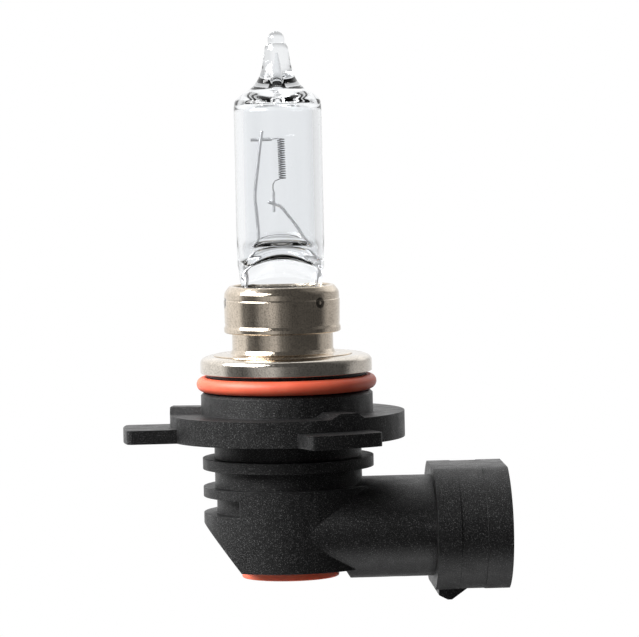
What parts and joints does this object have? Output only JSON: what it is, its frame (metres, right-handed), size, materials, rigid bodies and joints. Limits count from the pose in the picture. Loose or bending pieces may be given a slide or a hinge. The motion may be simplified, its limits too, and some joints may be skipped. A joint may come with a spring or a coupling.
{
  "type": "headlight bulb",
  "caption": "Right-angle halogen headlamp bulb with a quartz burner, metal collar, O-ring sealed base with locking lugs and a side connector.",
  "frame": {"origin": "on the base axis, in the plane of the lugs' top faces, which is the lamp's reference plane", "axes": "+Z along the lamp axis towards the glass tip, +X towards the connector's mouth"},
  "size_m": [0.0454, 0.0342, 0.068],
  "materials": {
    "quartz": "clear fused quartz with a faint iridescent film",
    "tungsten": "bare drawn tungsten wire, dark grey",
    "molybdenum": "drawn molybdenum wire and foil, grey",
    "spring_steel": "stamped spring steel",
    "nickel_collar": "rolled nickel-plated steel, fine marks round it",
    "nickel_neck": "drawn nickel-plated steel",
    "nickel_cup": "drawn nickel-plated steel, smooth",
    "black_moulding": "glass-filled black thermoplastic, fine grain",
    "orange_ring": "orange silicone, satin",
    "orange_plug": "orange silicone, satin",
    "tinned_brass": "stamped brass, tin plated",
    "insulator": "woven glass-fibre tube, off-white"
  },
  "bodies": {
    "root": {"quartz_envelope": "quartz", "filament": "tungsten", "upper_leg_sleeve": "molybdenum", "lower_leg_sleeve": "molybdenum", "long_support_post": "molybdenum", "short_support_post": "molybdenum", "seal_foil_left": "molybdenum", "seal_foil_right": "molybdenum", "outer_lead_left": "molybdenum", "outer_lead_right": "molybdenum", "pinch_clip": "spring_steel", "burner_collar": "nickel_collar", "burner_sleeve": "nickel_neck", "base_cup": "nickel_cup", "base_housing": "black_moulding", "o_ring": "orange_ring", "terminal_left": "tinned_brass", "terminal_right": "tinned_brass", "lead_insulator_left": "insulator", "lead_insulator_right": "insulator", "rear_plug": "orange_plug"}
  },
  "joints": []
}
